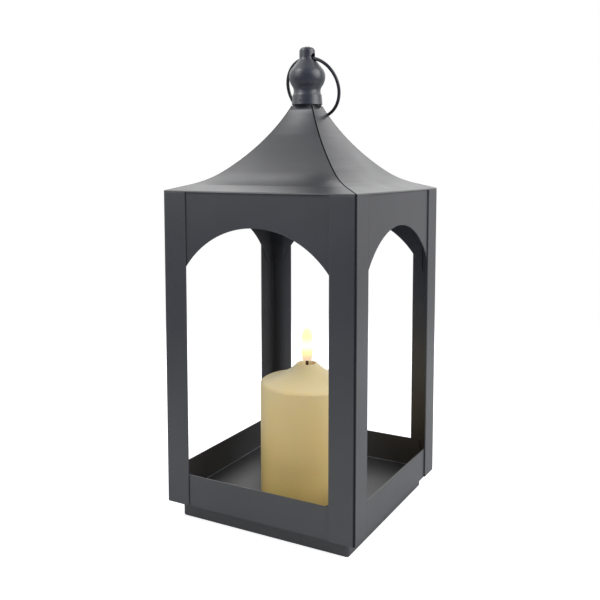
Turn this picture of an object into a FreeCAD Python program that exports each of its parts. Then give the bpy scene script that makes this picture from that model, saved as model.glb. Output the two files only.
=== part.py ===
import FreeCAD, Part
import math
import os
import re
import Sketcher

# Candle lantern: a square body of folded sheet with four open arched sides, a concave
# pagoda roof, a turned finial with a carry ring, and a flameless pillar candle inside.
# Origin: centre of the plinth's underside. +Z is up, the front is -Y, the right side +X.
# Lengths are in millimetres, angles in degrees.

SIZES = {
    # lantern body
    "body_width": 162.0,
    "wall_height": 242.9,
    "wall_sheet": 0.8,
    "post_face": 20.6,
    "post_sheet": 1.0,
    "post_bend": 2.0,
    "panel_lap": 8.9,
    "arch_drop": 24.9,
    "arch_rise": 46.0,
    "rail_height": 24.5,
    "floor_sheet": 0.8,
    "floor_gap": 0.2,
    # plinth
    "plinth_height": 13.6,
    "plinth_inset": 8.7,
    "plinth_sheet": 1.0,
    "plinth_flange": 10.0,
    "plinth_bend": 2.0,
    "plinth_foot_bend": 1.8,
    "plinth_seam": 0.4,
    "plinth_seam_offset": -6.6,
    # roof
    "roof_sheet": 0.8,
    "roof_lip_bend": 1.5,
    "roof_brim_slope": 16.7,
    "roof_flank_slope": 41.0,
    "roof_crown_slope": 65.1,
    "roof_brim_radius": 52.0,
    "roof_flank_radius": 152.6,
    "roof_crown_half": 9.2,
    "roof_seam": 0.15,
    "crown_plate_setback": 0.6,
    "crown_plate_sheet": 1.0,
    # finial and its screw
    "collar_radius": 12.2,
    "collar_height": 7.4,
    "collar_top_radius": 11.6,
    "waist_curve": 6.45,
    "bulb_foot_radius": 11.65,
    "bulb_foot_height": 14.2,
    "bulb_lower_curve": 13.4,
    "bulb_radius": 14.4,
    "bulb_height": 22.4,
    "bulb_upper_curve": 8.8,
    "shoulder_radius": 12.3,
    "shoulder_height": 28.1,
    "throat_radius": 7.4,
    "throat_height": 34.2,
    "neck_height": 37.2,
    "neck_curve": 5.0,
    "cap_radius": 6.2,
    "cap_height": 41.6,
    "cap_edge": 3.2,
    "finial_height": 45.5,
    "dimple_radius": 0.6,
    "dimple_depth": 1.5,
    "dimple_height": 2.8,
    "screw_radius": 2.5,
    "screw_length": 14.0,
    "screw_head_radius": 4.4,
    "screw_head_height": 2.8,
    "screw_head_face": 3.0,
    "screw_head_curve": 3.4,
    "screw_slot": 1.2,
    "screw_clearance": 0.05,
    "screw_end_gap": 1.0,
    "washer_radius": 5.6,
    "washer_sheet": 1.0,
    # carry ring
    "ring_radius": 24.3,
    "ring_wire": 1.3,
    "ring_rest_gap": 1.2,
    "ring_skew": 6.9,
    "ring_pivot_height": 36.7,
    "ring_hole_play": 2.1,
    # candle
    "candle_radius": 37.5,
    "candle_height": 90.3,
    "candle_x": 5.0,
    "candle_y": -9.0,
    "candle_edge": 3.0,
    "candle_foot_edge": 0.8,
    "candle_crown_rise": 14.1,
    "candle_crown_curve": 49.0,
    "crater_rim": 7.6,
    "crater_lip": 1.1,
    "crater_lip_ease": 0.05,
    "crater_depth": 3.7,
    "crater_taper": 1.1,
    "stem_cover": 8.0,
    # battery housing
    "housing_clearance": 0.3,
    "housing_wall": 1.4,
    "housing_height": 58.0,
    "base_recess": 1.0,
    "base_thickness": 2.0,
    "well_clearance": 0.6,
    "well_wall": 1.4,
    "well_roof": 1.6,
    "boss_radius": 2.6,
    "boss_height": 2.0,
    "boss_spacing": 24.0,
    # battery lid
    "lid_clearance": 0.3,
    "lid_thickness": 1.6,
    "lid_rim": 2.0,
    "lug_reach": 1.9,
    "lug_angle": 24.0,
    "lug_notch_turn": 35.0,
    "lug_thickness": 1.2,
    "lug_gap": 0.2,
    "lug_play": 2.0,
    "lid_slot_length": 18.0,
    "lid_slot_width": 2.0,
    "lid_slot_depth": 0.9,
    # cells and contacts
    "cell_radius": 7.25,
    "cell_length": 49.5,
    "cell_nub_radius": 2.75,
    "cell_nub": 1.0,
    "cell_gap": 1.5,
    "cell_play": 4.45,
    "contact_sheet": 0.4,
    "contact_gap": 0.1,
    "bridge_radius": 15.5,
    "contact_headroom": 4.4,
    "spring_radius": 4.0,
    "spring_wire": 0.4,
    "spring_turns": 3.0,
    "contact_button": 3.2,
    "contact_button_edge": 1.0,
    "contact_flange": 6.2,
    # circuit board, stem, wick, lamp and flame
    "board_length": 32.0,
    "board_width": 18.0,
    "board_thickness": 1.2,
    "board_hole_clearance": 0.1,
    "board_screw_radius": 1.0,
    "board_screw_head": 2.0,
    "board_screw_head_height": 1.2,
    "board_screw_slot": 0.6,
    "stem_radius": 3.2,
    "stem_bore_clearance": 0.4,
    "stem_room": 13.9,
    "stem_flange": 7.0,
    "stem_flange_thickness": 1.5,
    "stem_clearance": 0.3,
    "wick_radius": 1.2,
    "wick_bore": 0.8,
    "wick_height": 5.9,
    "wick_engagement": 12.0,
    "wick_clearance": 0.1,
    "lead_radius": 0.25,
    "lead_offset": 0.4,
    "lead_clearance": 0.05,
    "lamp_radius": 1.5,
    "lamp_height": 4.4,
    "lamp_clearance": 0.1,
    "flame_foot": 3.7,
    "flame_radius": 4.7,
    "flame_belly": 11.5,
    "flame_height": 26.2,
    "flame_dome_radius": 3.0,
    "flame_dome_rise": 2.1,
    # slide switch
    "switch_length": 10.0,
    "switch_depth": 5.0,
    "switch_height": 4.5,
    "switch_gap": 1.5,
    "switch_room": 1.7,
    "switch_travel": 4.0,
    "knob_length": 3.0,
    "knob_width": 2.4,
    "knob_clearance": 0.25,
    "knob_recess": 0.5,
    "knob_root": 1.6,
}

doc = FreeCAD.newDocument("candle_lantern")
sheet = doc.addObject("Spreadsheet::Sheet", "Sizes")
for row, (alias, number) in enumerate(SIZES.items(), start=1):
    sheet.set(f"A{row}", alias)
    sheet.set(f"B{row}", str(number))
    sheet.setAlias(f"B{row}", alias)
doc.recompute()

# Places worked out from the sizes, as expressions of the sheet's names.
HALF = "body_width / 2"
WALL_TOP = "(plinth_height + wall_height)"
WALL_FACE = "(body_width / 2 - post_sheet)"
PANEL_HALF = "(body_width / 2 - post_face + panel_lap)"
ARCH_APEX = f"({WALL_TOP} - arch_drop)"
ARCH_RADIUS = f"(({PANEL_HALF} ^ 2 + arch_rise ^ 2) / (2 * arch_rise))"
FLOOR_TOP = "(plinth_height + floor_sheet)"
PLINTH_HALF = "(body_width / 2 - plinth_inset)"
FLANK_RUN = "(roof_flank_radius * (sin(roof_crown_slope) - sin(roof_flank_slope)))"
FLANK_RISE = "(roof_flank_radius * (cos(roof_flank_slope) - cos(roof_crown_slope)))"
BRIM_RUN = "(roof_brim_radius * (sin(roof_flank_slope) - sin(roof_brim_slope)))"
BRIM_RISE = "(roof_brim_radius * (cos(roof_brim_slope) - cos(roof_flank_slope)))"
LIP_S = f"({HALF} - roof_lip_bend * (1 - sin(roof_brim_slope)))"
LIP_Z = f"({WALL_TOP} + roof_lip_bend * cos(roof_brim_slope))"
FLANK_S = f"(roof_crown_half + {FLANK_RUN})"
BRIM_S = f"({FLANK_S} + {BRIM_RUN})"
BRIM_Z = f"({LIP_Z} + ({LIP_S} - {BRIM_S}) * tan(roof_brim_slope))"
FLANK_Z = f"({BRIM_Z} + {BRIM_RISE})"
CROWN_Z = f"({FLANK_Z} + {FLANK_RISE})"
FINIAL_Z = f"({CROWN_Z} + crown_plate_sheet)"
RING_Z = f"({FINIAL_Z} + ring_pivot_height)"
CROWN_PLATE_HALF = "(roof_crown_half - crown_plate_setback)"
RING_HOLE = "(ring_wire + ring_hole_play)"
CELL_X = "(cell_radius + cell_gap / 2)"
LID_RADIUS = f"({CELL_X} + cell_radius + cell_play)"
WELL_RADIUS = f"({LID_RADIUS} + lug_reach + well_clearance)"
SWITCH_Y = f"({WELL_RADIUS} + well_wall + switch_gap + switch_depth / 2)"
HOUSING_RADIUS = f"({SWITCH_Y} + switch_depth / 2 + switch_room + housing_wall)"
WAX_BORE = f"({HOUSING_RADIUS} + housing_clearance)"
BASE_TOP = "(base_recess + base_thickness)"
LID_TOP = f"({BASE_TOP} + lug_gap + lug_thickness)"
CELL_Z = f"({LID_TOP} + contact_sheet + contact_gap)"
CELL_TOP = f"({CELL_Z} + cell_length + cell_nub)"
WELL_TOP = f"({CELL_TOP} + contact_headroom)"
BOARD_Z = f"({WELL_TOP} + well_roof + boss_height)"
STEM_Z = f"({BOARD_Z} + board_thickness)"
STEM_BORE = "(wick_radius + stem_bore_clearance)"
WAX_CEILING = f"({STEM_Z} + stem_flange_thickness + stem_room)"
CRATER_Z = "(candle_height + candle_crown_rise - crater_depth)"
STEM_TOP = f"({CRATER_Z} - stem_cover)"
FLAME_Z = f"({CRATER_Z} + wick_height)"


def bound(expression):
    """The expression with every size's name pointing at the sheet."""
    def prefixed(match):
        word = match.group(0)
        return "Sizes." + word if word in SIZES else word
    return re.sub(r"[a-z_]+", prefixed, expression)


def value(expression):
    """The expression's present number."""
    return float(sheet.evalExpression(bound(expression)))


def new_body(label, turn=0.0):
    """An empty body; turn is its rotation about the lantern's upright axis."""
    body = doc.addObject("PartDesign::Body", label)
    body.Label = label
    upright = FreeCAD.Vector(0, 0, 1)
    body.Placement = FreeCAD.Placement(FreeCAD.Vector(), FreeCAD.Rotation(upright, turn))
    return body


def put_on_candle(item, x="0", y="0", z="0"):
    """Moves a piece from the candle's own frame (centre of its foot) to its place in the lantern."""
    item.setExpression("Placement.Base.x", bound(f"candle_x + {x}"))
    item.setExpression("Placement.Base.y", bound(f"candle_y + {y}"))
    item.setExpression("Placement.Base.z", bound(f"{FLOOR_TOP} + {z}"))


def new_sketch(body, plane, offset="0"):
    """A sketch on one of the body's own planes, moved along the plane's normal."""
    name = f"{body.Label}_outline_{len(body.Group)}"
    sketch = body.newObject("Sketcher::SketchObject", name)
    origin_plane = [item for item in body.Origin.OriginFeatures if item.Role == plane][0]
    sketch.AttachmentSupport = [(origin_plane, "")]
    sketch.MapMode = "FlatFace"
    if offset != "0":
        sketch.setExpression("AttachmentOffset.Base.z", bound(offset))
    return sketch


def hold(sketch, kind, geometry, point, expression):
    """Ties one coordinate of a sketch point to the sheet."""
    if expression == "0":
        axis = -2 if kind == "DistanceX" else -1
        sketch.addConstraint(Sketcher.Constraint("PointOnObject", geometry, point, axis))
        return
    index = sketch.addConstraint(
        Sketcher.Constraint(kind, -1, 1, geometry, point, value(expression)))
    sketch.setExpression(f"Constraints[{index}]", bound(expression))


def arc_centre(start, end, radius, side):
    """The centre of the shorter arc; side 1 has it on the left of the way, -1 on the right."""
    across = f"(({end[0]}) - ({start[0]}))"
    along = f"(({end[1]}) - ({start[1]}))"
    depth = f"sqrt(({radius}) ^ 2 / ({across} ^ 2 + {along} ^ 2) - 1 / 4)"
    return (
        f"(({start[0]}) + ({end[0]})) / 2 - {side} * {along} * {depth}",
        f"(({start[1]}) + ({end[1]})) / 2 + {side} * {across} * {depth}")


def point_at(place):
    return FreeCAD.Vector(value(place[0]), value(place[1]), 0)


def arc_between(start, end, centre, side):
    """The shorter arc, which a sketch always runs anticlockwise."""
    first, last = (start, end) if side > 0 else (end, start)
    whole = Part.Circle(centre, FreeCAD.Vector(0, 0, 1), (start - centre).Length)
    return Part.ArcOfCircle(whole, whole.parameter(first), whole.parameter(last))


def closed_outline(sketch, corners):
    """A closed outline. A corner is (x, y), or (x, y, radius, side) where an arc leads to it."""
    first = len(sketch.Geometry)
    count = len(corners)
    ends = []
    for index, corner in enumerate(corners):
        start = point_at(corners[index - 1])
        end = point_at(corner)
        if len(corner) == 4:
            centre = point_at(arc_centre(corners[index - 1], corner, *corner[2:]))
            sketch.addGeometry(arc_between(start, end, centre, corner[3]), False)
        else:
            sketch.addGeometry(Part.LineSegment(start, end), False)
        ends.append((1, 2) if corner[3:] == (-1,) else (2, 1))
    for index, corner in enumerate(corners):
        following = (index + 1) % count
        sketch.addConstraint(Sketcher.Constraint(
            "Coincident", first + index, ends[index][0], first + following, ends[following][1]))
        hold(sketch, "DistanceX", first + index, ends[index][0], corner[0])
        hold(sketch, "DistanceY", first + index, ends[index][0], corner[1])
        if len(corner) == 4:
            centre = arc_centre(corners[index - 1], corner, *corner[2:])
            chord = point_at(corner) - point_at(corners[index - 1])
            if abs(chord.y) > abs(chord.x):
                hold(sketch, "DistanceX", first + index, 3, centre[0])
            else:
                hold(sketch, "DistanceY", first + index, 3, centre[1])


def circle(sketch, x, y, radius):
    centre = FreeCAD.Vector(value(x), value(y), 0)
    index = sketch.addGeometry(
        Part.Circle(centre, FreeCAD.Vector(0, 0, 1), value(radius)), False)
    hold(sketch, "DistanceX", index, 3, x)
    hold(sketch, "DistanceY", index, 3, y)
    radius_index = sketch.addConstraint(Sketcher.Constraint("Radius", index, value(radius)))
    sketch.setExpression(f"Constraints[{radius_index}]", bound(radius))


def rectangle(sketch, left, bottom, right, top):
    closed_outline(sketch, [(left, bottom), (right, bottom), (right, top), (left, top)])


def pad(body, sketch, length, symmetric=False, reverse=False):
    feature = body.newObject("PartDesign::Pad", f"{body.Label}_pad_{len(body.Group)}")
    feature.Profile = sketch
    feature.setExpression("Length", bound(length))
    feature.Midplane = symmetric
    feature.Reversed = reverse
    doc.recompute()
    return feature


def revolve(body, sketch):
    feature = body.newObject("PartDesign::Revolution", f"{body.Label}_turned_{len(body.Group)}")
    feature.Profile = sketch
    feature.ReferenceAxis = (sketch, ["V_Axis"])
    feature.Angle = 360.0
    doc.recompute()
    return feature


def cut(body, sketch, depth, symmetric=False, reverse=False):
    """A pocket that has to take something away."""
    before = body.Shape.Volume
    feature = body.newObject("PartDesign::Pocket", f"{body.Label}_pocket_{len(body.Group)}")
    feature.Profile = sketch
    feature.setExpression("Length", bound(depth))
    feature.Midplane = symmetric
    feature.Reversed = reverse
    doc.recompute()
    if not body.Shape.Volume < before:
        raise RuntimeError(f"{feature.Label} cuts nothing")
    return feature


def corner_post(label, turn):
    """Sheet folded to an L along its whole height, standing on the plinth."""
    body = new_body(label, turn)
    sketch = new_sketch(body, "XY_Plane", "plinth_height")
    closed_outline(sketch, [
        (f"-{HALF}", f"post_bend - {HALF}"),
        (f"post_bend - {HALF}", f"-{HALF}", "post_bend", 1),
        (f"post_face - {HALF}", f"-{HALF}"),
        (f"post_face - {HALF}", f"post_sheet - {HALF}"),
        (f"post_bend - {HALF}", f"post_sheet - {HALF}"),
        (f"post_sheet - {HALF}", f"post_bend - {HALF}", "post_bend - post_sheet", -1),
        (f"post_sheet - {HALF}", f"post_face - {HALF}"),
        (f"-{HALF}", f"post_face - {HALF}"),
    ])
    pad(body, sketch, "wall_height")


def arch_panel(label, turn):
    """Spandrel sheet under the eave; its edges run behind the posts' flanges."""
    body = new_body(label, turn)
    sketch = new_sketch(body, "XZ_Plane", WALL_FACE)
    tip = f"{ARCH_APEX} - arch_rise"
    closed_outline(sketch, [
        (f"-{PANEL_HALF}", tip),
        ("0", ARCH_APEX, ARCH_RADIUS, -1),
        (PANEL_HALF, tip, ARCH_RADIUS, -1),
        (PANEL_HALF, WALL_TOP),
        (f"-{PANEL_HALF}", WALL_TOP),
    ])
    pad(body, sketch, "wall_sheet", reverse=True)


def rail(label, turn):
    """Flat strip round the floor, behind the posts' flanges."""
    body = new_body(label, turn)
    sketch = new_sketch(body, "XZ_Plane", WALL_FACE)
    rectangle(sketch, f"-{PANEL_HALF}", "plinth_height", PANEL_HALF, "plinth_height + rail_height")
    pad(body, sketch, "wall_sheet", reverse=True)


def floor_sheet():
    body = new_body("floor_tray")
    sketch = new_sketch(body, "XY_Plane", "plinth_height")
    centred_square(sketch, f"({WALL_FACE} - wall_sheet - floor_gap)")
    pad(body, sketch, "floor_sheet")


def rounded_square(sketch, half, radius):
    inner = f"({half} - {radius})"
    closed_outline(sketch, [
        (inner, f"-{half}"),
        (half, f"-{inner}", radius, 1),
        (half, inner),
        (inner, half, radius, 1),
        (f"-{inner}", half),
        (f"-{half}", inner, radius, 1),
        (f"-{half}", f"-{inner}"),
        (f"-{inner}", f"-{half}", radius, 1),
    ])


def centred_square(sketch, half):
    rectangle(sketch, f"-{half}", f"-{half}", half, half)


def plinth():
    """Recessed foot: one folded strip with a bottom flange, closed by a butt seam."""
    body = new_body("plinth")
    outside = new_sketch(body, "XY_Plane")
    rounded_square(outside, PLINTH_HALF, "plinth_bend")
    block = pad(body, outside, "plinth_height")
    foot_edges = [
        f"Edge{number}" for number, edge in enumerate(block.Shape.Edges, start=1)
        if edge.BoundBox.ZMax < value("plinth_sheet")]
    bend = body.newObject("PartDesign::Fillet", "plinth_foot_bend")
    bend.Base = (block, foot_edges)
    bend.setExpression("Radius", bound("plinth_foot_bend"))
    doc.recompute()
    hollow = new_sketch(body, "XY_Plane", "plinth_sheet")
    rounded_square(hollow, f"({PLINTH_HALF} - plinth_sheet)", "(plinth_bend - plinth_sheet)")
    cut(body, hollow, "plinth_height", reverse=True)
    opening = new_sketch(body, "XY_Plane")
    centred_square(opening, f"({PLINTH_HALF} - plinth_flange)")
    cut(body, opening, "plinth_height", symmetric=True)
    seam = new_sketch(body, "YZ_Plane", PLINTH_HALF)
    rectangle(
        seam, "plinth_seam_offset - plinth_seam / 2", "-plinth_sheet",
        "plinth_seam_offset + plinth_seam / 2", "plinth_height + plinth_sheet")
    cut(body, seam, "2 * plinth_flange + plinth_bend", symmetric=True)


def roof_panel(label, turn):
    """One curved side of the roof with its turned-down lip, mitred at the hips."""
    body = new_body(label, turn)
    profile = new_sketch(body, "YZ_Plane")
    sheet_run = "roof_sheet * sin({0})"
    sheet_rise = "roof_sheet * cos({0})"

    def inside(run, rise, slope):
        return (
            f"-({run} - {sheet_run.format(slope)})",
            f"{rise} - {sheet_rise.format(slope)}")

    brim = inside(BRIM_S, BRIM_Z, "roof_brim_slope")
    flank = inside(FLANK_S, FLANK_Z, "roof_flank_slope")
    crown = inside("roof_crown_half", CROWN_Z, "roof_crown_slope")
    lip = inside(LIP_S, LIP_Z, "roof_brim_slope")
    closed_outline(profile, [
        (f"-{HALF}", WALL_TOP),
        (f"-{LIP_S}", LIP_Z, "roof_lip_bend", -1),
        (f"-{BRIM_S}", BRIM_Z),
        (f"-{FLANK_S}", FLANK_Z, "roof_brim_radius", 1),
        ("-roof_crown_half", CROWN_Z, "roof_flank_radius", 1),
        crown,
        (*flank, "roof_flank_radius + roof_sheet", -1),
        (*brim, "roof_brim_radius + roof_sheet", -1),
        lip,
        (f"-({HALF} - roof_sheet)", WALL_TOP, "roof_lip_bend - roof_sheet", 1),
    ])
    pad(body, profile, "body_width", symmetric=True)
    mitre = new_sketch(body, "XY_Plane")
    near = f"({CROWN_PLATE_HALF} / 2)"
    bend_start = f"({HALF} - post_bend)"
    bend_middle = f"({HALF} - post_bend * (1 - cos(45)))"
    beyond = f"({HALF} + post_bend)"
    for sign in ("", "-"):
        side = 1 if sign else -1
        closed_outline(mitre, [
            (f"{sign}{near}", "0"),
            (f"{sign}{near}", f"-({near} + roof_seam)"),
            (f"{sign}({bend_middle} - roof_seam / 2)", f"-({bend_middle} + roof_seam / 2)"),
            (f"{sign}{bend_start}", f"-{HALF}", "post_bend", side),
            (f"{sign}{bend_start}", f"-{beyond}"),
            (f"{sign}{beyond}", f"-{beyond}"),
            (f"{sign}{beyond}", "0"),
        ])
    cut(body, mitre, f"2 * {FINIAL_Z}", symmetric=True)


def crown_plate():
    """Small square plate that closes the roof's top and carries the finial."""
    body = new_body("crown_plate")
    sketch = new_sketch(body, "XY_Plane", CROWN_Z)
    centred_square(sketch, CROWN_PLATE_HALF)
    circle(sketch, "0", "0", "screw_radius + screw_clearance")
    pad(body, sketch, "crown_plate_sheet")


def tangent_arc(sagitta, run):
    """Radius of the arc that starts square to the sagitta and ends sagitta and run away."""
    return f"(({sagitta} ^ 2 + {run} ^ 2) / (2 * {sagitta}))"


def finial():
    """Turned knob with a blind bore for its screw and a cross hole for the ring."""
    body = new_body("finial")
    sketch = new_sketch(body, "XZ_Plane")

    def level(rise):
        return f"{FINIAL_Z} + {rise}"

    bore = "screw_radius + screw_clearance"
    bore_top = level("screw_length - crown_plate_sheet - washer_sheet + screw_end_gap")
    cap_rise = "(finial_height - cap_height - cap_edge)"
    closed_outline(sketch, [
        (bore, FINIAL_Z),
        ("collar_radius", FINIAL_Z),
        ("collar_top_radius", level("collar_height")),
        ("bulb_foot_radius", level("bulb_foot_height"), "waist_curve", -1),
        ("bulb_radius", level("bulb_height"), "bulb_lower_curve", 1),
        ("shoulder_radius", level("shoulder_height"), "bulb_upper_curve", 1),
        ("throat_radius", level("throat_height")),
        ("cap_radius", level("neck_height"), "neck_curve", -1),
        ("cap_radius", level("cap_height")),
        ("cap_radius - cap_edge", level("cap_height + cap_edge"), "cap_edge", 1),
        ("0", level("finial_height"), tangent_arc(cap_rise, "(cap_radius - cap_edge)"), 1),
        ("0", bore_top),
        (bore, bore_top),
    ])
    revolve(body, sketch)
    hole = new_sketch(body, "YZ_Plane")
    circle(hole, "0", RING_Z, RING_HOLE)
    cut(body, hole, "4 * cap_radius", symmetric=True)
    dimple = new_sketch(body, "XZ_Plane", "collar_radius - dimple_depth")
    circle(dimple, "0", level("dimple_height"), "dimple_radius")
    cut(body, dimple, "2 * dimple_depth", reverse=True)


def finial_fastening():
    """Slotted screw and washer that hold the finial from inside the roof."""
    washer = new_body("finial_washer")
    sketch = new_sketch(washer, "XY_Plane", f"{CROWN_Z} - washer_sheet")
    circle(sketch, "0", "0", "washer_radius")
    circle(sketch, "0", "0", "screw_radius + screw_clearance")
    pad(washer, sketch, "washer_sheet")

    screw = new_body("finial_screw")
    under_head = f"({CROWN_Z} - washer_sheet)"
    sketch = new_sketch(screw, "XZ_Plane")
    closed_outline(sketch, [
        ("0", f"{under_head} - screw_head_height"),
        ("screw_head_face", f"{under_head} - screw_head_height"),
        ("screw_head_radius", under_head, "screw_head_curve", 1),
        ("screw_radius", under_head),
        ("screw_radius", f"{under_head} + screw_length"),
        ("0", f"{under_head} + screw_length"),
    ])
    revolve(screw, sketch)
    slot = new_sketch(screw, "XZ_Plane")
    rectangle(
        slot, "-screw_slot / 2", f"{under_head} - 2 * screw_head_height",
        "screw_slot / 2", f"{under_head} - screw_head_height / 2")
    cut(screw, slot, "4 * screw_head_radius", symmetric=True)


def ring_lean():
    """Degrees from hanging straight down to where the ring's far side meets the roof's flank.

    In the upright plane through the hole, the wire's far centre swings on a circle round the
    hole. It rests where its distance from the flank arc's centre is that arc's radius less
    the wire and a gap. The skewed ring's side comes nearer to the roof than its far end, and
    the gap leaves room for it."""
    across = value(f"{FLANK_S} + roof_flank_radius * sin(roof_flank_slope)")
    above = value(f"{FLANK_Z} + roof_flank_radius * cos(roof_flank_slope) - {RING_Z}")
    reach = value("roof_flank_radius - ring_wire - ring_rest_gap")
    swing = 2 * value("ring_radius")
    away = math.hypot(across, above)
    turn = math.asin((swing ** 2 + away ** 2 - reach ** 2) / (2 * swing * away))
    return math.degrees(turn + math.atan2(above, across))


def carry_ring():
    """Round wire ring through the finial's cross hole, leaning on the back of the roof."""
    ring = doc.addObject("Part::Torus", "carry_ring")
    ring.Label = "carry_ring"
    ring.setExpression("Radius1", bound("ring_radius"))
    ring.setExpression("Radius2", bound("ring_wire"))
    lean = ring_lean()
    skew = FreeCAD.Rotation(FreeCAD.Vector(0, 0, 1), -value("ring_skew"))
    hanging = FreeCAD.Rotation(FreeCAD.Vector(1, 0, 0), lean).multVec(
        FreeCAD.Vector(0, 0, -value("ring_radius")))
    upright = FreeCAD.Rotation(FreeCAD.Vector(1, 0, 0), 90 + lean)
    place = skew.multVec(hanging) + FreeCAD.Vector(0, 0, value(RING_Z))
    ring.Placement = FreeCAD.Placement(place, skew.multiply(upright))


def candle_shell():
    """Wax pillar, hollow from below, with a raised top and a crater round the wick."""
    body = new_body("candle_shell")
    sketch = new_sketch(body, "XZ_Plane")
    rim_top = "candle_height + candle_crown_rise"
    closed_outline(sketch, [
        ("0", "0"),
        ("candle_radius - candle_foot_edge", "0"),
        ("candle_radius", "candle_foot_edge", "candle_foot_edge", 1),
        ("candle_radius", "candle_height - candle_edge"),
        ("candle_radius - candle_edge", "candle_height", "candle_edge", 1),
        ("crater_rim + crater_lip", f"{rim_top} - crater_lip", "candle_crown_curve", -1),
        ("crater_rim - crater_lip", f"{rim_top} - crater_lip", "crater_lip + crater_lip_ease", 1),
        ("crater_rim - crater_lip - crater_taper", CRATER_Z),
        ("0", CRATER_Z),
    ])
    revolve(body, sketch)
    bores = (
        (WAX_BORE, WAX_CEILING),
        ("stem_radius + stem_clearance", STEM_TOP),
        ("wick_radius + wick_clearance", CRATER_Z),
    )
    for radius, depth in bores:
        bore = new_sketch(body, "XY_Plane")
        circle(bore, "0", "0", radius)
        cut(body, bore, depth, reverse=True)
    put_on_candle(body)


def battery_housing():
    """Moulded cup with the battery well, the lid's opening, the board's bosses and cut-outs."""
    body = new_body("battery_housing")
    sketch = new_sketch(body, "XZ_Plane")
    opening = f"{LID_RADIUS} + lid_clearance"
    cup_inside = f"{HOUSING_RADIUS} - housing_wall"
    closed_outline(sketch, [
        (opening, "base_recess"),
        (HOUSING_RADIUS, "base_recess"),
        (HOUSING_RADIUS, "housing_height"),
        (cup_inside, "housing_height"),
        (cup_inside, BASE_TOP),
        (f"{WELL_RADIUS} + well_wall", BASE_TOP),
        (f"{WELL_RADIUS} + well_wall", f"{WELL_TOP} + well_roof"),
        ("0", f"{WELL_TOP} + well_roof"),
        ("0", WELL_TOP),
        (WELL_RADIUS, WELL_TOP),
        (WELL_RADIUS, BASE_TOP),
        (opening, BASE_TOP),
    ])
    revolve(body, sketch)
    bosses = new_sketch(body, "XY_Plane", f"{WELL_TOP} + well_roof")
    for sign in ("-", ""):
        circle(bosses, f"{sign}boss_spacing / 2", "0", "boss_radius")
    pad(body, bosses, "boss_height")
    pilots = new_sketch(body, "XY_Plane", BOARD_Z)
    for sign in ("-", ""):
        circle(pilots, f"{sign}boss_spacing / 2", "0", "board_screw_radius + screw_clearance")
    cut(body, pilots, "boss_height + well_roof")
    notches = new_sketch(body, "XY_Plane", "base_recess")
    sector(notches, f"{LID_RADIUS} - lug_reach", f"{LID_RADIUS} + lug_reach + lid_clearance",
           "lug_notch_turn", "lug_angle / 2 + lug_play")
    cut(body, notches, "base_thickness", reverse=True)
    slot = new_sketch(body, "XY_Plane", "base_recess")
    switch_slot(slot)
    cut(body, slot, "base_thickness", reverse=True)
    put_on_candle(body)


def sector(sketch, inner, outer, middle, spread):
    """Two opposite ring sectors, centred on the angle middle and spread to each side of it."""
    for turn in ("0", "180"):
        low = f"({turn} + {middle} - ({spread}))"
        high = f"({turn} + {middle} + {spread})"
        closed_outline(sketch, [
            (f"({inner}) * cos({low})", f"({inner}) * sin({low})"),
            (f"({outer}) * cos({low})", f"({outer}) * sin({low})"),
            (f"({outer}) * cos({high})", f"({outer}) * sin({high})", f"({outer})", 1),
            (f"({inner}) * cos({high})", f"({inner}) * sin({high})"),
        ])


def switch_slot(sketch):
    """The knob's slot: its own size, its travel and a clearance all round."""
    half_length = "(knob_length / 2 + switch_travel / 2 + knob_clearance)"
    half_width = "(knob_width / 2 + knob_clearance)"
    rectangle(
        sketch, f"-{half_length}", f"-{SWITCH_Y} - {half_width}",
        half_length, f"-{SWITCH_Y} + {half_width}")


def battery_lid():
    """Round bayonet lid with a coin slot and two lugs that turn in above the base."""
    body = new_body("battery_lid")
    disc = new_sketch(body, "XY_Plane", "base_recess")
    circle(disc, "0", "0", LID_RADIUS)
    pad(body, disc, "lid_thickness")
    rim = new_sketch(body, "XY_Plane", "base_recess")
    circle(rim, "0", "0", f"{LID_RADIUS} - lid_rim")
    pad(body, rim, f"{LID_TOP} - base_recess")
    lugs = new_sketch(body, "XY_Plane", f"{BASE_TOP} + lug_gap")
    sector(lugs, f"{LID_RADIUS} - lid_rim - lug_reach", f"{LID_RADIUS} + lug_reach",
           "0", "lug_angle / 2")
    pad(body, lugs, "lug_thickness")
    slot = new_sketch(body, "XY_Plane", "base_recess")
    rectangle(
        slot, "-lid_slot_length / 2", "-lid_slot_width / 2",
        "lid_slot_length / 2", "lid_slot_width / 2")
    cut(body, slot, "lid_slot_depth", reverse=True)
    put_on_candle(body)


def battery_cell(label, sign, nub_up):
    """One AA cell standing in the well."""
    body = new_body(label)
    centre = f"{sign}{CELL_X}"
    can = new_sketch(body, "XY_Plane", CELL_Z if nub_up else f"{CELL_Z} + cell_nub")
    circle(can, centre, "0", "cell_radius")
    pad(body, can, "cell_length")
    nub = new_sketch(body, "XY_Plane", CELL_Z)
    circle(nub, centre, "0", "cell_nub_radius")
    pad(body, nub, "cell_length + cell_nub")
    put_on_candle(body)


def lid_contact():
    """Round bridge plate on the lid, under both cells."""
    body = new_body("lid_bridge_contact")
    sketch = new_sketch(body, "XY_Plane", LID_TOP)
    circle(sketch, "0", "0", "bridge_radius")
    pad(body, sketch, "contact_sheet")
    put_on_candle(body)


def button_contact():
    """Pressed contact under the well's roof, above one cell's nub."""
    body = new_body("button_contact")
    sketch = new_sketch(body, "XZ_Plane")
    closed_outline(sketch, [
        ("0", CELL_TOP),
        ("contact_button - contact_button_edge", CELL_TOP),
        ("contact_button", f"{CELL_TOP} + contact_button_edge", "contact_button_edge", 1),
        ("contact_button", f"{WELL_TOP} - contact_sheet"),
        ("contact_flange", f"{WELL_TOP} - contact_sheet"),
        ("contact_flange", WELL_TOP),
        ("0", WELL_TOP),
    ])
    revolve(body, sketch)
    put_on_candle(body, x=f"-{CELL_X}")


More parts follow.
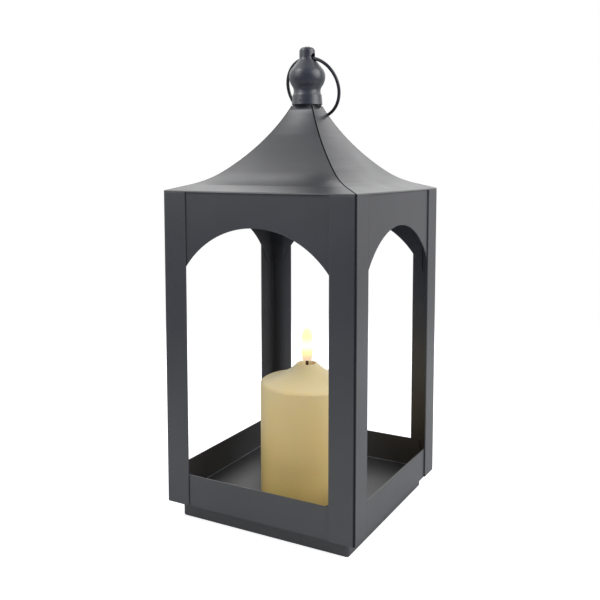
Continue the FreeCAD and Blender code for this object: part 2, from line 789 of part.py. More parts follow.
def spring_contact():
    """Coil spring between the other cell and the well's roof."""
    spring = doc.addObject("Part::Feature", "spring_contact")
    spring.Label = "spring_contact"
    wire = value("spring_wire")
    radius = value("spring_radius")
    height = value("contact_headroom") - 2 * wire
    helix = Part.makeHelix(height / value("spring_turns"), height, radius)
    section = Part.makeCircle(wire, FreeCAD.Vector(radius, 0, 0), FreeCAD.Vector(0, 1, 0))
    spring.Shape = Part.Wire(helix).makePipeShell([Part.Wire(section)], True, True)
    put_on_candle(spring, x=CELL_X, z=f"{CELL_TOP} + spring_wire")


def circuit_board():
    """Driver board on the well's two bosses, drilled for its screws and the lamp's leads."""
    body = new_body("circuit_board")
    sketch = new_sketch(body, "XY_Plane", BOARD_Z)
    rectangle(
        sketch, "-board_length / 2", "-board_width / 2", "board_length / 2", "board_width / 2")
    for sign in ("-", ""):
        circle(sketch, f"{sign}boss_spacing / 2", "0", "board_screw_radius + board_hole_clearance")
        circle(sketch, f"{sign}lead_offset", "0", "lead_radius + lead_clearance")
    pad(body, sketch, "board_thickness")
    put_on_candle(body)


def board_screws():
    """The two screws that hold the board to its bosses."""
    body = new_body("board_screws")
    body.AllowCompound = True
    shanks = new_sketch(body, "XY_Plane", STEM_Z)
    heads = new_sketch(body, "XY_Plane", STEM_Z)
    for sign in ("-", ""):
        circle(shanks, f"{sign}boss_spacing / 2", "0", "board_screw_radius")
        circle(heads, f"{sign}boss_spacing / 2", "0", "board_screw_head")
    pad(body, heads, "board_screw_head_height")
    pad(body, shanks, "board_thickness + boss_height", reverse=True)
    slots = new_sketch(body, "XY_Plane", f"{STEM_Z} + board_screw_head_height")
    for sign in ("-", ""):
        side = f"{sign}boss_spacing / 2"
        rectangle(
            slots, f"{side} - board_screw_slot / 2", "-2 * board_screw_head",
            f"{side} + board_screw_slot / 2", "2 * board_screw_head")
    cut(body, slots, "board_screw_head_height / 2")
    put_on_candle(body)


def stem():
    """Flanged tube from the board up into the wax, which carries the wick."""
    body = new_body("wick_stem")
    sketch = new_sketch(body, "XZ_Plane")
    closed_outline(sketch, [
        (STEM_BORE, STEM_Z),
        ("stem_flange", STEM_Z),
        ("stem_flange", f"{STEM_Z} + stem_flange_thickness"),
        ("stem_radius", f"{STEM_Z} + stem_flange_thickness"),
        ("stem_radius", STEM_TOP),
        (STEM_BORE, STEM_TOP),
    ])
    revolve(body, sketch)
    put_on_candle(body)


def wick():
    """Thin tube that stands out of the crater and holds the flame tip."""
    body = new_body("wick")
    sketch = new_sketch(body, "XY_Plane", f"{CRATER_Z} - wick_engagement")
    circle(sketch, "0", "0", "wick_radius")
    circle(sketch, "0", "0", "wick_bore")
    pad(body, sketch, "wick_engagement + wick_height")
    put_on_candle(body)


def lamp_leads():
    """The lamp's two leads, from the board up through the stem and the wick."""
    body = new_body("lamp_leads")
    body.AllowCompound = True
    sketch = new_sketch(body, "XY_Plane", BOARD_Z)
    for sign in ("-", ""):
        circle(sketch, f"{sign}lead_offset", "0", "lead_radius")
    pad(body, sketch, f"{FLAME_Z} - {BOARD_Z}")
    put_on_candle(body)


def lamp():
    """Small domed light-emitting diode inside the flame tip's foot."""
    body = new_body("lamp")
    sketch = new_sketch(body, "XZ_Plane")
    closed_outline(sketch, [
        ("0", FLAME_Z),
        ("lamp_radius", FLAME_Z),
        ("lamp_radius", f"{FLAME_Z} + lamp_height - lamp_radius"),
        ("0", f"{FLAME_Z} + lamp_height", "lamp_radius", 1),
    ])
    revolve(body, sketch)
    put_on_candle(body)


def flame_tip():
    """Translucent flame shape on the wick, bored from below for the lamp."""
    body = new_body("flame_tip")
    sketch = new_sketch(body, "XZ_Plane")
    bore = "lamp_radius + lamp_clearance"
    bore_top = f"{FLAME_Z} + lamp_height + lamp_clearance"
    foot_in = "(flame_radius - flame_foot)"
    foot_down = "flame_belly"
    dome_in = "(flame_radius - flame_dome_radius)"
    dome_up = "(flame_height - flame_dome_rise - flame_belly)"

    closed_outline(sketch, [
        (bore, FLAME_Z),
        ("flame_foot", FLAME_Z),
        ("flame_radius", f"{FLAME_Z} + flame_belly", tangent_arc(foot_in, foot_down), 1),
        ("flame_dome_radius", f"{FLAME_Z} + flame_height - flame_dome_rise",
         tangent_arc(dome_in, dome_up), 1),
        ("0", f"{FLAME_Z} + flame_height", tangent_arc("flame_dome_rise", "flame_dome_radius"), 1),
        ("0", bore_top),
        (bore, bore_top),
    ])
    revolve(body, sketch)
    put_on_candle(body)


def slide_switch():
    """Switch body on the base, open below for its knob, which reaches down through the slot."""
    body = new_body("switch_body")
    block = new_sketch(body, "XY_Plane", BASE_TOP)
    rectangle(
        block, "-switch_length / 2", f"-{SWITCH_Y} - switch_depth / 2",
        "switch_length / 2", f"-{SWITCH_Y} + switch_depth / 2")
    pad(body, block, "switch_height")
    room = new_sketch(body, "XY_Plane", BASE_TOP)
    switch_slot(room)
    cut(body, room, "knob_root + knob_clearance", reverse=True)
    put_on_candle(body)

    knob = new_body("switch_knob")
    sketch = new_sketch(knob, "XY_Plane", "knob_recess")
    rectangle(
        sketch, "switch_travel / 2 - knob_length / 2", f"-{SWITCH_Y} - knob_width / 2",
        "switch_travel / 2 + knob_length / 2", f"-{SWITCH_Y} + knob_width / 2")
    pad(knob, sketch, f"{BASE_TOP} + knob_root - knob_recess")
    put_on_candle(knob)


def build_lantern():
    corners = ("front_left", "front_right", "back_right", "back_left")
    sides = ("front", "right", "back", "left")
    for quarter in range(4):
        corner_post(f"post_{corners[quarter]}", 90.0 * quarter)
        arch_panel(f"arch_panel_{sides[quarter]}", 90.0 * quarter)
        rail(f"rail_{sides[quarter]}", 90.0 * quarter)
        roof_panel(f"roof_panel_{sides[quarter]}", 90.0 * quarter)
    floor_sheet()
    plinth()
    crown_plate()
    finial()
    finial_fastening()
    carry_ring()


def build_candle():
    candle_shell()
    battery_housing()
    battery_lid()
    battery_cell("battery_left", "-", nub_up=True)
    battery_cell("battery_right", "", nub_up=False)
    lid_contact()
    button_contact()
    spring_contact()
    circuit_board()
    board_screws()
    stem()
    wick()
    lamp_leads()
    lamp()
    flame_tip()
    slide_switch()


def subparts():
    """The finished pieces: every body, and every solid that belongs to no body."""
    kinds = ("PartDesign::Body", "Part::Torus", "Part::Feature")
    return [item for item in doc.Objects if item.TypeId in kinds]


def check():
    """Stops on any object that failed, and on any piece that is missing or not valid."""
    for item in doc.Objects:
        if "Invalid" in item.State or "Error" in item.State:
            raise RuntimeError(f"{item.Label} failed: {item.getStatusString()}")
    for item in subparts():
        if item.Shape.isNull() or not item.Shape.isValid() or not item.Shape.Solids:
            raise RuntimeError(f"{item.Label} has no valid solid")


build_lantern()
build_candle()
doc.recompute()
check()
os.makedirs("parts", exist_ok=True)
for piece in subparts():
    piece.Shape.exportStep(f"parts/{piece.Label}.step")
    box = piece.Shape.BoundBox
    print(
        f"{piece.Label}: {len(piece.Shape.Solids)} solid(s), {piece.Shape.Volume:.1f} mm3, "
        f"x {box.XMin:.2f}..{box.XMax:.2f} y {box.YMin:.2f}..{box.YMax:.2f} "
        f"z {box.ZMin:.2f}..{box.ZMax:.2f}")
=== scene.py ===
import math

import bmesh
import bpy
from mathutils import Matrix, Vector

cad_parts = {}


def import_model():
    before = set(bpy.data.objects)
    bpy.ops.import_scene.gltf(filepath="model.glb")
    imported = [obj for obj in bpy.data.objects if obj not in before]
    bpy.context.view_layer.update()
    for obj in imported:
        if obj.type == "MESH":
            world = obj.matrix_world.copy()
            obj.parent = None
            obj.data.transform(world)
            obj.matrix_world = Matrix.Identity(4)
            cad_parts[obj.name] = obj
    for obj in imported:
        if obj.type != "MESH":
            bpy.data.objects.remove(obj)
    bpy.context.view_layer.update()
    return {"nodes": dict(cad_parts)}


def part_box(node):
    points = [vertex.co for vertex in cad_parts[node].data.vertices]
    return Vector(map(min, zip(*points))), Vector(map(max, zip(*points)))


# Candle lantern of powder coated sheet with a flameless pillar candle inside. Lengths are in
# metres and colours are linear. The front is -Y and the right side +X.

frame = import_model()
NODES = frame["nodes"]

# The studio.
CAMERA_PLACE = (0.2992, -0.5554, 0.2784)
CAMERA_YAW = 28.70
CAMERA_DOWN = 5.13
CAMERA_LENS = 47.18
CAMERA_SHIFT = (-0.0029, -0.1106)
CAMERA_REACH = (0.01, 50.0)

# Reflections see a dim room this way and white paper the other way. Each fade's two numbers are
# where it is 0 and 1.
WHITE = (1.0, 1.0, 1.0)
ROOM_DIRECTION = (0.40, -0.73, 0.55)
ROOM_COLOUR = (0.085, 0.110, 0.220)
PAPER_LEVEL = 1.0
PAPER_FADE = (0.80, 0.30)
HORIZON_FADE = (-0.10, 0.06)
FILL_COLOUR = (0.87, 0.93, 1.0)
FILL_LEVEL = 0.50
FLOOR_RADIUS = 6.0
FLOOR_SIDES = 96
FLOOR_COLOUR = (0.70, 0.70, 0.70)
FLOOR_LIFT = 0.72
TABLE_CENTRE = (0.05, 0.09, 0.0)
TABLE_FADE = (0.80, 0.45)
SWEEP_FADE = (0.25, -0.25)
SWEEP_LEVEL = 0.58
LAMP_TARGET = (0.0, 0.0, 0.2)
# Each lamp's azimuth from the front towards the right in degrees, height, distance, size, power.
LAMPS = {
    "soft_right": (98.0, 0.95, 1.5, (1.5, 1.5), 26.0),
    "soft_left": (-33.0, 0.95, 1.5, (0.8, 1.2), 7.0),
    "soft_high": (-43.0, 1.6, 1.2, (0.7, 0.6), 10.0),
    "soft_back": (-128.0, 1.20, 1.5, (1.4, 1.0), 4.0),
    "soft_rear": (-172.0, 0.97, 1.5, (1.6, 1.0), 2.2),
}

# The powder coat, the shade painted near black into its narrow gaps and corners, and the painted
# shade and painted highlights along its folds, edges and hips.
COAT_COLOUR = (0.050, 0.050, 0.053)
COAT_ROUGHNESS = 0.31
TRAY_ROUGHNESS = 0.42
# The finial's coat is darker and bluer than the rest of the coat: a painted blue reflection of the
# room.
FINIAL_BLUE_REFLECTION_COLOUR = (0.034, 0.037, 0.045)
FINIAL_ROUGHNESS = 0.40
FINIAL_GLOSS = 0.75
FINIAL_PEEL = 0.1
RING_COLOUR = (0.026, 0.027, 0.032)
RING_ROUGHNESS = 0.30
SHEET_EDGE = 0.00035
ROOF_EDGE = 0.00025
EDGE_SEGMENTS = 3
EDGE_ANGLE = 35.0
WELD_REACH = 1e-6
# Painted shade: the near black laid over the coat in narrow gaps and corners and along the roof's
# hips.
JOINT_SHADE_COLOUR = (0.004, 0.004, 0.005)
SHADE_REACH = 0.0016
SHADE_DEPTH = 0.40
HIP_SHADE_WIDTH = 0.0010
# Painted shade: a dark band along the posts' upright folds.
CORNER_SHADE_WIDTH = 0.0020
CORNER_SHADE_COLOUR = (0.018, 0.018, 0.022)
# Painted highlight: a pale line along the cut edges of the posts' flanges.
FLANGE_HIGHLIGHT_WIDTH = 0.0008
FLANGE_HIGHLIGHT_COLOUR = (0.085, 0.085, 0.092)
# Painted highlight: a pale line along the tray's edges by the rails.
FOLD_HIGHLIGHT_WIDTH = 0.0012
FOLD_HIGHLIGHT_COLOUR = (0.55, 0.56, 0.60)

# The coat's grain: each noise's scale, and each bump's strength and depth.
MOTTLE_SCALE = 14.0
PATCH_SCALE = 45.0
PATCH_SPREAD = 0.05
PEEL_SCALE = 900.0
PEEL_BUMP = (0.16, 0.0002)
SAG_SCALE = 30.0
SAG_BUMP = (0.06, 0.002)

# How light goes into the wax, and its grain.
WAX_SCATTER = 0.45
WAX_SCATTER_COLOUR = (1.0, 0.55, 0.22)
WAX_SCATTER_DEPTH = 0.006
WAX_ROUGHNESS = 0.48
WAX_IOR = 1.44
WAX_CLOUD_SCALE = 22.0
WAX_CLOUD_SHIFT = 0.06
WAX_GRAIN_SCALE = 260.0
WAX_GRAIN_BUMP = (0.10, 0.0003)

# The wax's colours up its height, and the flame's.
WAX_TONES = [
    (0.00, (0.780, 0.565, 0.198)),
    (0.45, (0.740, 0.545, 0.230)),
    (0.82, (0.740, 0.580, 0.280)),
    (0.88, (0.700, 0.570, 0.310)),
    (1.00, (0.640, 0.530, 0.300)),
]
FLAME_TONES = [
    (0.00, (0.86, 0.60, 0.42)),
    (0.10, (0.97, 0.72, 0.42)),
    (0.19, (1.00, 0.92, 0.46)),
    (0.27, (1.00, 0.98, 0.44)),
    (0.36, (1.00, 1.00, 0.80)),
    (0.46, (1.00, 1.00, 1.00)),
    (0.55, (1.00, 1.00, 0.90)),
    (0.72, (1.00, 1.00, 0.50)),
    (0.88, (1.00, 1.00, 0.54)),
    (1.00, (0.98, 1.00, 0.78)),
]
FLAME_COLOUR = (0.02, 0.02, 0.015)
FLAME_ROUGHNESS = 0.35

# Each plastic's and each metal's colour, roughness and nodes.
PLASTICS = {
    "housing_plastic": ((0.72, 0.68, 0.58), 0.45, ["battery_housing", "battery_lid", "wick_stem"]),
    "cell_jacket": ((0.05, 0.12, 0.10), 0.35, ["battery_left", "battery_right"]),
    "board": ((0.02, 0.14, 0.05), 0.40, ["circuit_board"]),
    "wick_black": ((0.030, 0.014, 0.005), 0.70, ["wick"]),
    "lamp_resin": ((0.85, 0.75, 0.45), 0.20, ["lamp"]),
    "switch_black": ((0.02, 0.02, 0.02), 0.45, ["switch_body", "switch_knob"]),
}
METALS = {
    "zinc_steel": ((0.60, 0.60, 0.58), 0.35, ["finial_screw", "finial_washer"]),
    "contact_steel": ((0.62, 0.60, 0.55), 0.30, [
        "button_contact", "spring_contact", "lid_bridge_contact", "board_screws"]),
    "lead_copper": ((0.70, 0.45, 0.30), 0.30, ["lamp_leads"]),
}
PLASTIC_CLOUD_SCALE = 60.0
PLASTIC_GRAIN_SCALE = 1200.0
PLASTIC_GRAIN_BUMP = (0.12, 0.0001)
METAL_CLOUD_SCALE = 120.0
METAL_STREAK_SCALE = 400.0
METAL_ROUGHNESS_SPREAD = (-0.08, 0.12)


# ---------------------------------------------------------------- small helpers

def new_material(name):
    """A node material with its tree and its Principled shader."""
    material = bpy.data.materials.new(name)
    material.use_nodes = True
    tree = material.node_tree
    shader = tree.nodes["Principled BSDF"]
    return material, tree, shader


def add_node(tree, kind, **settings):
    """A new node. Keys are its properties, and keys that are sockets' names set their values."""
    node = tree.nodes.new(kind)
    for key, value in settings.items():
        name = key.replace("_", " ").title()
        if name in node.inputs:
            node.inputs[name].default_value = value
        else:
            setattr(node, key, value)
    return node


def link(tree, start, end):
    tree.links.new(start, end)


def ramp(tree, factor, stops):
    """A colour ramp of (position, colour) stops."""
    node = tree.nodes.new("ShaderNodeValToRGB")
    elements = node.color_ramp.elements
    while len(elements) > 1:
        elements.remove(elements[-1])
    for index, (position, colour) in enumerate(stops):
        element = elements[0] if index == 0 else elements.new(position)
        element.position = position
        element.color = (*colour, 1.0)
    link(tree, factor, node.inputs["Fac"])
    return node


def noise(tree, coordinates, scale, detail=4.0, roughness=0.5):
    node = add_node(tree, "ShaderNodeTexNoise", scale=scale, detail=detail, roughness=roughness)
    link(tree, coordinates, node.inputs["Vector"])
    return node


def stretch(tree, value, low, high, start=0.0, end=1.0, kind="SMOOTHSTEP"):
    """A value's stretch low to high mapped to start to end, and held beyond it."""
    node = add_node(tree, "ShaderNodeMapRange", interpolation_type=kind)
    for key, number in (("From Min", low), ("From Max", high), ("To Min", start), ("To Max", end)):
        node.inputs[key].default_value = number
    link(tree, value, node.inputs["Value"])
    return node.outputs["Result"]


def maths(tree, operation, first, second):
    """One Math node; an input is a socket or a number."""
    node = add_node(tree, "ShaderNodeMath", operation=operation)
    for index, value in enumerate((first, second)):
        if isinstance(value, (int, float)):
            node.inputs[index].default_value = value
        else:
            link(tree, value, node.inputs[index])
    return node.outputs[0]


def mixed(tree, factor, first, second):
    """Two shaders mixed: the first where the factor is 0 and the second where it is 1."""
    node = tree.nodes.new("ShaderNodeMixShader")
    link(tree, factor, node.inputs["Fac"])
    link(tree, first, node.inputs[1])
    link(tree, second, node.inputs[2])
    return node.outputs[0]


def parts(tree, place):
    """The X, Y and Z sockets of a place."""
    split = add_node(tree, "ShaderNodeSeparateXYZ")
    link(tree, place, split.inputs["Vector"])
    return split.outputs


def height(tree, place):
    return parts(tree, place)["Z"]


def here(tree):
    """The place in the object's own frame, which is the shared one."""
    return add_node(tree, "ShaderNodeTexCoord").outputs["Object"]


def toward_room(tree, place):
    """How far a place or direction lies towards the dim room."""
    node = add_node(tree, "ShaderNodeVectorMath", operation="DOT_PRODUCT")
    link(tree, place, node.inputs[0])
    node.inputs[1].default_value = ROOM_DIRECTION
    return node.outputs["Value"]


def bump(tree, field, strength, distance, normal=None):
    """Raises the surface by a field, over another bump's normal if there is one."""
    node = add_node(tree, "ShaderNodeBump", strength=strength, distance=distance)
    link(tree, field, node.inputs["Height"])
    if normal is not None:
        link(tree, normal, node.inputs["Normal"])
    return node


# ---------------------------------------------------------------- materials

def painted(tree, factor, shader, colour):
    """The shader covered by a matt colour where the factor is 1."""
    cover = add_node(tree, "ShaderNodeBsdfDiffuse", color=(*colour, 1.0))
    return mixed(tree, factor, shader, cover.outputs[0])


def painted_crevice_shade(tree):
    """Where shade is painted: 1 in gaps and corners that are narrow beside the reach, where the coat
    lies in shade.
    """
    near = add_node(tree, "ShaderNodeAmbientOcclusion", samples=6, distance=SHADE_REACH)
    return stretch(tree, near.outputs["AO"], SHADE_DEPTH, 0.5 * SHADE_DEPTH)


def sideways(tree, place):
    """The two level parts of a place without their signs."""
    split = parts(tree, place)
    return [maths(tree, "ABSOLUTE", split[axis], 0.0) for axis in ("X", "Y")]


def painted_hip_shade(tree, place):
    """1 on the seams of the roof's four hips, which lie over the square's diagonals, where shade is
    painted near black.
    """
    across, along = sideways(tree, place)
    off = maths(tree, "ABSOLUTE", maths(tree, "SUBTRACT", across, along), 0.0)
    return stretch(tree, off, HIP_SHADE_WIDTH, 0.5 * HIP_SHADE_WIDTH)


def painted_corner_shade(tree, place):
    """1 along the posts' upright folds, which turn away from the light; a dark band of painted shade
    lies there.
    """
    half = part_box("post_front_right")[1].x
    innermost = maths(tree, "MINIMUM", *sideways(tree, place))
    return stretch(tree, innermost, half - CORNER_SHADE_WIDTH, half - 0.4 * CORNER_SHADE_WIDTH)


def painted_flange_highlight(tree, place):
    """1 along the cut edges of the posts' flanges, where a pale painted highlight lies."""
    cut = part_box("post_front_right")[0].x
    innermost = maths(tree, "MINIMUM", *sideways(tree, place))
    return stretch(tree, innermost, cut + FLANGE_HIGHLIGHT_WIDTH, cut + 0.4 * FLANGE_HIGHLIGHT_WIDTH)


def painted_fold_highlight(tree, place):
    """1 along the tray's edges against the rails, where a pale painted highlight lies."""
    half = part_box("floor_tray")[1].x
    outermost = maths(tree, "MAXIMUM", *sideways(tree, place))
    return stretch(tree, outermost, half - FOLD_HIGHLIGHT_WIDTH, half - 0.5 * FOLD_HIGHLIGHT_WIDTH)


def powder_coat(name, colour, roughness, lines=(), joints=True, peel=1.0, gloss=0.5):
    """Satin textured coat: fine orange peel, faint mottling, painted shade in narrow gaps and
    corners, and painted lines of a colour.
    """
    material, tree, shader = new_material(name)
    place = here(tree)
    mottle = noise(tree, place, MOTTLE_SCALE, 3.0)
    low = tuple(0.93 * c for c in colour)
    high = tuple(1.07 * c for c in colour)
    tone = ramp(tree, mottle.outputs["Fac"], [(0.30, low), (0.70, high)])
    link(tree, tone.outputs["Color"], shader.inputs["Base Color"])
    patches = noise(tree, place, PATCH_SCALE).outputs["Fac"]
    spread = PATCH_SPREAD * peel
    rubbed = stretch(tree, patches, 0.0, 1.0, roughness - spread, roughness + spread, "LINEAR")
    link(tree, rubbed, shader.inputs["Roughness"])
    shader.inputs["Specular IOR Level"].default_value = gloss
    strength, depth = PEEL_BUMP
    grain = noise(tree, place, PEEL_SCALE, 2.0, 0.6).outputs["Fac"]
    skin = bump(tree, grain, strength * peel, depth)
    strength, depth = SAG_BUMP
    sag = noise(tree, place, SAG_SCALE, 2.0).outputs["Fac"]
    waves = bump(tree, sag, strength * peel, depth, skin.outputs["Normal"])
    link(tree, waves.outputs["Normal"], shader.inputs["Normal"])
    total = shader.outputs[0]
    if joints:
        # Painted shade in narrow gaps and corners.
        total = painted(tree, painted_crevice_shade(tree), total, JOINT_SHADE_COLOUR)
    for line, line_colour in lines:
        total = painted(tree, line(tree, place), total, line_colour)
    link(tree, total, tree.nodes["Material Output"].inputs["Surface"])
    return material


def wax(low, high):
    """Ivory wax: light goes into it, deeper in colour down its side and paler on its shoulder."""
    material, tree, shader = new_material("ivory_wax")
    place = here(tree)
    cloud = noise(tree, place, WAX_CLOUD_SCALE).outputs["Fac"]
    rise = stretch(tree, height(tree, place), low, high, 0.0, 1.0, "LINEAR")
    patchy = stretch(tree, cloud, 0.3, 0.7, -WAX_CLOUD_SHIFT, WAX_CLOUD_SHIFT, "LINEAR")
    tone = ramp(tree, maths(tree, "ADD", rise, patchy), WAX_TONES)
    link(tree, tone.outputs["Color"], shader.inputs["Base Color"])
    shader.inputs["Subsurface Weight"].default_value = WAX_SCATTER
    shader.inputs["Subsurface Radius"].default_value = WAX_SCATTER_COLOUR
    shader.inputs["Subsurface Scale"].default_value = WAX_SCATTER_DEPTH
    shader.inputs["Roughness"].default_value = WAX_ROUGHNESS
    shader.inputs["IOR"].default_value = WAX_IOR
    skin = bump(tree, noise(tree, place, WAX_GRAIN_SCALE, 3.0).outputs["Fac"], *WAX_GRAIN_BUMP)
    link(tree, skin.outputs["Normal"], shader.inputs["Normal"])
    return material


def flame_glow(low, high):
    """Lit flame shape: peach foot, yellow sides, a white band over the lamp and a pale tip.
    It casts no shadow."""
    material, tree, shader = new_material("flame_glow")
    place = here(tree)
    rise = stretch(tree, height(tree, place), low, high, 0.0, 1.0, "LINEAR")
    tone = ramp(tree, rise, FLAME_TONES)
    link(tree, tone.outputs["Color"], shader.inputs["Emission Color"])
    shader.inputs["Emission Strength"].default_value = 1.0
    shader.inputs["Base Color"].default_value = (*FLAME_COLOUR, 1.0)
    shader.inputs["Roughness"].default_value = FLAME_ROUGHNESS
    clear = add_node(tree, "ShaderNodeBsdfTransparent")
    path = tree.nodes.new("ShaderNodeLightPath")
    total = mixed(tree, path.outputs["Is Shadow Ray"], shader.outputs[0], clear.outputs[0])
    link(tree, total, tree.nodes["Material Output"].inputs["Surface"])
    return material


def moulded_plastic(name, colour, roughness):
    """Plain moulded plastic with a fine spark-eroded grain."""
    material, tree, shader = new_material(name)
    place = here(tree)
    cloud = noise(tree, place, PLASTIC_CLOUD_SCALE, 3.0)
    low = tuple(0.94 * c for c in colour)
    high = tuple(min(1.0, 1.05 * c) for c in colour)
    tone = ramp(tree, cloud.outputs["Fac"], [(0.3, low), (0.7, high)])
    link(tree, tone.outputs["Color"], shader.inputs["Base Color"])
    shader.inputs["Roughness"].default_value = roughness
    grain = noise(tree, place, PLASTIC_GRAIN_SCALE, 2.0).outputs["Fac"]
    skin = bump(tree, grain, *PLASTIC_GRAIN_BUMP)
    link(tree, skin.outputs["Normal"], shader.inputs["Normal"])
    return material


def bare_metal(name, colour, roughness):
    """Plated or drawn metal with fine scratches."""
    material, tree, shader = new_material(name)
    place = here(tree)
    cloud = noise(tree, place, METAL_CLOUD_SCALE)
    low = tuple(0.85 * c for c in colour)
    tone = ramp(tree, cloud.outputs["Fac"], [(0.3, low), (0.7, colour)])
    link(tree, tone.outputs["Color"], shader.inputs["Base Color"])
    shader.inputs["Metallic"].default_value = 1.0
    streaks = noise(tree, place, METAL_STREAK_SCALE, 5.0).outputs["Fac"]
    less, more = METAL_ROUGHNESS_SPREAD
    rubbed = stretch(tree, streaks, 0.0, 1.0, roughness + less, roughness + more, "LINEAR")
    link(tree, rubbed, shader.inputs["Roughness"])
    return material


def wear(material, names):
    """Gives the CAD nodes a material in place of their packed one."""
    for name in names:
        for slot in NODES[name].material_slots:
            slot.material = material


# ---------------------------------------------------------------- CAD nodes

def soften(names, width):
    """Rounds the sharp edges of CAD nodes a little, as a coat of powder does."""
    for name in names:
        item = NODES[name]
        item.modifiers.new("join", "WELD").merge_threshold = WELD_REACH
        edge = item.modifiers.new("edge", "BEVEL")
        edge.width = width
        edge.segments = EDGE_SEGMENTS
        edge.limit_method = "ANGLE"
        edge.angle_limit = math.radians(EDGE_ANGLE)
        edge.harden_normals = True


def named(prefix):
    return [name for name in sorted(NODES) if name.startswith(prefix)]


# ---------------------------------------------------------------- studio

def camera():
    data = bpy.data.cameras.new("view")
    data.lens = CAMERA_LENS
    data.shift_x, data.shift_y = CAMERA_SHIFT
    data.clip_start, data.clip_end = CAMERA_REACH
    item = bpy.data.objects.new("view", data)
    item.location = CAMERA_PLACE
    yaw = math.radians(CAMERA_YAW)
    down = math.radians(CAMERA_DOWN)
    forward = Vector((
        -math.sin(yaw) * math.cos(down), math.cos(yaw) * math.cos(down), -math.sin(down)))
    item.rotation_mode = "QUATERNION"
    item.rotation_quaternion = forward.to_track_quat("-Z", "Y")
    bpy.context.scene.collection.objects.link(item)
    bpy.context.scene.camera = item


def area_lamp(name, place, target, size, power):
    """A soft lamp that the camera doesn't see."""
    data = bpy.data.lights.new(name, "AREA")
    data.shape = "RECTANGLE"
    data.size, data.size_y = size
    data.energy = power
    item = bpy.data.objects.new(name, data)
    item.location = place
    aim = Vector(target) - Vector(place)
    item.rotation_mode = "QUATERNION"
    item.rotation_quaternion = aim.to_track_quat("-Z", "Y")
    item.visible_camera = False
    bpy.context.scene.collection.objects.link(item)


def background(tree, colour, strength):
    node = add_node(tree, "ShaderNodeBackground")
    node.inputs["Color"].default_value = (*colour, 1.0)
    node.inputs["Strength"].default_value = strength
    return node.outputs[0]


def world():
    """White to the eye; glossy surfaces see white paper behind and a dim room in front and below."""
    item = bpy.data.worlds.new("studio")
    bpy.context.scene.world = item
    item.use_nodes = True
    tree = item.node_tree
    tree.nodes.clear()
    place = add_node(tree, "ShaderNodeTexCoord").outputs["Generated"]
    behind = stretch(tree, toward_room(tree, place), *PAPER_FADE)
    above = stretch(tree, height(tree, place), *HORIZON_FADE)
    lightness = maths(tree, "MULTIPLY", behind, above)
    room = background(tree, ROOM_COLOUR, 1.0)
    gloss = mixed(tree, lightness, room, background(tree, WHITE, PAPER_LEVEL))
    path = tree.nodes.new("ShaderNodeLightPath")
    fill = background(tree, FILL_COLOUR, FILL_LEVEL)
    lit = mixed(tree, path.outputs["Is Glossy Ray"], fill, gloss)
    seen = maths(tree, "MAXIMUM", path.outputs["Is Camera Ray"], path.outputs["Is Transmission Ray"])
    total = mixed(tree, seen, lit, background(tree, WHITE, 1.0))
    output = tree.nodes.new("ShaderNodeOutputWorld")
    link(tree, total, output.inputs["Surface"])


def glow(tree, strength):
    """White light of that strength, which is a socket."""
    node = add_node(tree, "ShaderNodeEmission", color=(*WHITE, 1.0))
    link(tree, strength, node.inputs["Strength"])
    return node.outputs[0]


def table_top(tree, seen):
    """The table near the object: a matt sheet, lifted for the eye, that keeps the shadow."""
    matt = add_node(tree, "ShaderNodeBsdfDiffuse", color=(*FLOOR_COLOUR, 1.0))
    total = tree.nodes.new("ShaderNodeAddShader")
    link(tree, matt.outputs[0], total.inputs[0])
    link(tree, glow(tree, maths(tree, "MULTIPLY", seen, FLOOR_LIFT)), total.inputs[1])
    return total.outputs[0]


def table_beyond(tree, place, seen):
    """The table further off: white to the eye, and to the rest the dim room or pale paper."""
    sweep = stretch(tree, toward_room(tree, place), *SWEEP_FADE)
    room = background(tree, ROOM_COLOUR, 1.0)
    dim = mixed(tree, sweep, room, background(tree, WHITE, SWEEP_LEVEL))
    return mixed(tree, seen, dim, glow(tree, seen))


def paper():
    """The table's material, clear from below. From above the eye sees it paper white, less the
    object's shadow near the middle."""
    material = bpy.data.materials.new("paper")
    material.use_nodes = True
    tree = material.node_tree
    tree.nodes.clear()
    place = here(tree)
    away = add_node(tree, "ShaderNodeVectorMath", operation="DISTANCE")
    link(tree, place, away.inputs[0])
    away.inputs[1].default_value = TABLE_CENTRE
    near = stretch(tree, away.outputs["Value"], *TABLE_FADE)
    seen = tree.nodes.new("ShaderNodeLightPath").outputs["Is Camera Ray"]
    top = mixed(tree, near, table_beyond(tree, place, seen), table_top(tree, seen))
    side = tree.nodes.new("ShaderNodeNewGeometry")
    clear = add_node(tree, "ShaderNodeBsdfTransparent")
    sheet = mixed(tree, side.outputs["Backfacing"], top, clear.outputs[0])
    output = tree.nodes.new("ShaderNodeOutputMaterial")
    link(tree, sheet, output.inputs["Surface"])
    return material


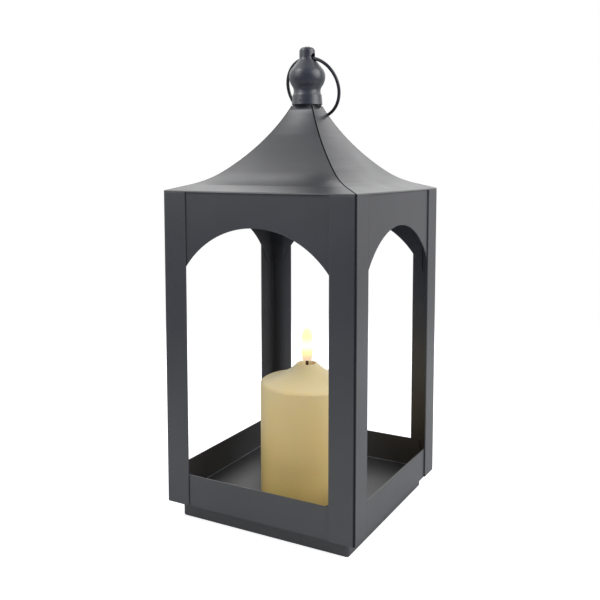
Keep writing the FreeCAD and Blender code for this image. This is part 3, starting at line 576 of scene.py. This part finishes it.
def floor():
    """Round pale table that the lantern stands on."""
    mesh = bpy.data.meshes.new("floor")
    shape = bmesh.new()
    bmesh.ops.create_circle(shape, cap_ends=True, radius=FLOOR_RADIUS, segments=FLOOR_SIDES)
    shape.to_mesh(mesh)
    shape.free()
    mesh.materials.append(paper())
    item = bpy.data.objects.new("floor", mesh)
    bpy.context.scene.collection.objects.link(item)


def studio():
    camera()
    world()
    floor()
    for name, (azimuth, rise, distance, size, power) in LAMPS.items():
        turn = math.radians(azimuth)
        place = (distance * math.sin(turn), -distance * math.cos(turn), rise)
        area_lamp(name, place, LAMP_TARGET, size, power)
    bpy.context.scene.view_settings.view_transform = "Standard"


# ---------------------------------------------------------------- the lantern and the candle

def lantern_looks():
    # The plain coat has painted shade in narrow gaps and corners.
    coat = powder_coat("powder_coat", COAT_COLOUR, COAT_ROUGHNESS)
    # The roof's hips get a line of painted shade.
    roof = powder_coat(
        "roof_coat", COAT_COLOUR, COAT_ROUGHNESS, [(painted_hip_shade, JOINT_SHADE_COLOUR)], joints=False)
    # The tray's edges get a painted highlight.
    tray = powder_coat("tray_coat", COAT_COLOUR, TRAY_ROUGHNESS, [(painted_fold_highlight, FOLD_HIGHLIGHT_COLOUR)])
    # The posts get painted shade on their folds and a painted highlight on their flanges' edges.
    post = powder_coat("post_coat", COAT_COLOUR, COAT_ROUGHNESS, [
        (painted_corner_shade, CORNER_SHADE_COLOUR), (painted_flange_highlight, FLANGE_HIGHLIGHT_COLOUR)])
    walls = named("arch_panel_") + named("rail_") + ["plinth", "crown_plate"]
    wear(coat, walls)
    wear(post, named("post_"))
    wear(roof, named("roof_panel_"))
    wear(tray, ["floor_tray"])
    turned = powder_coat(
        "finial_coat", FINIAL_BLUE_REFLECTION_COLOUR, FINIAL_ROUGHNESS, joints=False, peel=FINIAL_PEEL,
        gloss=FINIAL_GLOSS)
    wear(turned, ["finial"])
    soften(walls + named("post_") + ["floor_tray"], SHEET_EDGE)
    soften(named("roof_panel_"), ROOF_EDGE)
    wear(powder_coat("ring_coat", RING_COLOUR, RING_ROUGHNESS, joints=False), ["carry_ring"])


def candle_looks():
    low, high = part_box("candle_shell")
    wear(wax(low.z, high.z), ["candle_shell"])
    low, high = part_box("flame_tip")
    wear(flame_glow(low.z, high.z), ["flame_tip"])


def small_parts_looks():
    for name, (colour, roughness, names) in PLASTICS.items():
        wear(moulded_plastic(name, colour, roughness), names)
    for name, (colour, roughness, names) in METALS.items():
        wear(bare_metal(name, colour, roughness), names)


studio()
lantern_looks()
candle_looks()
small_parts_looks()
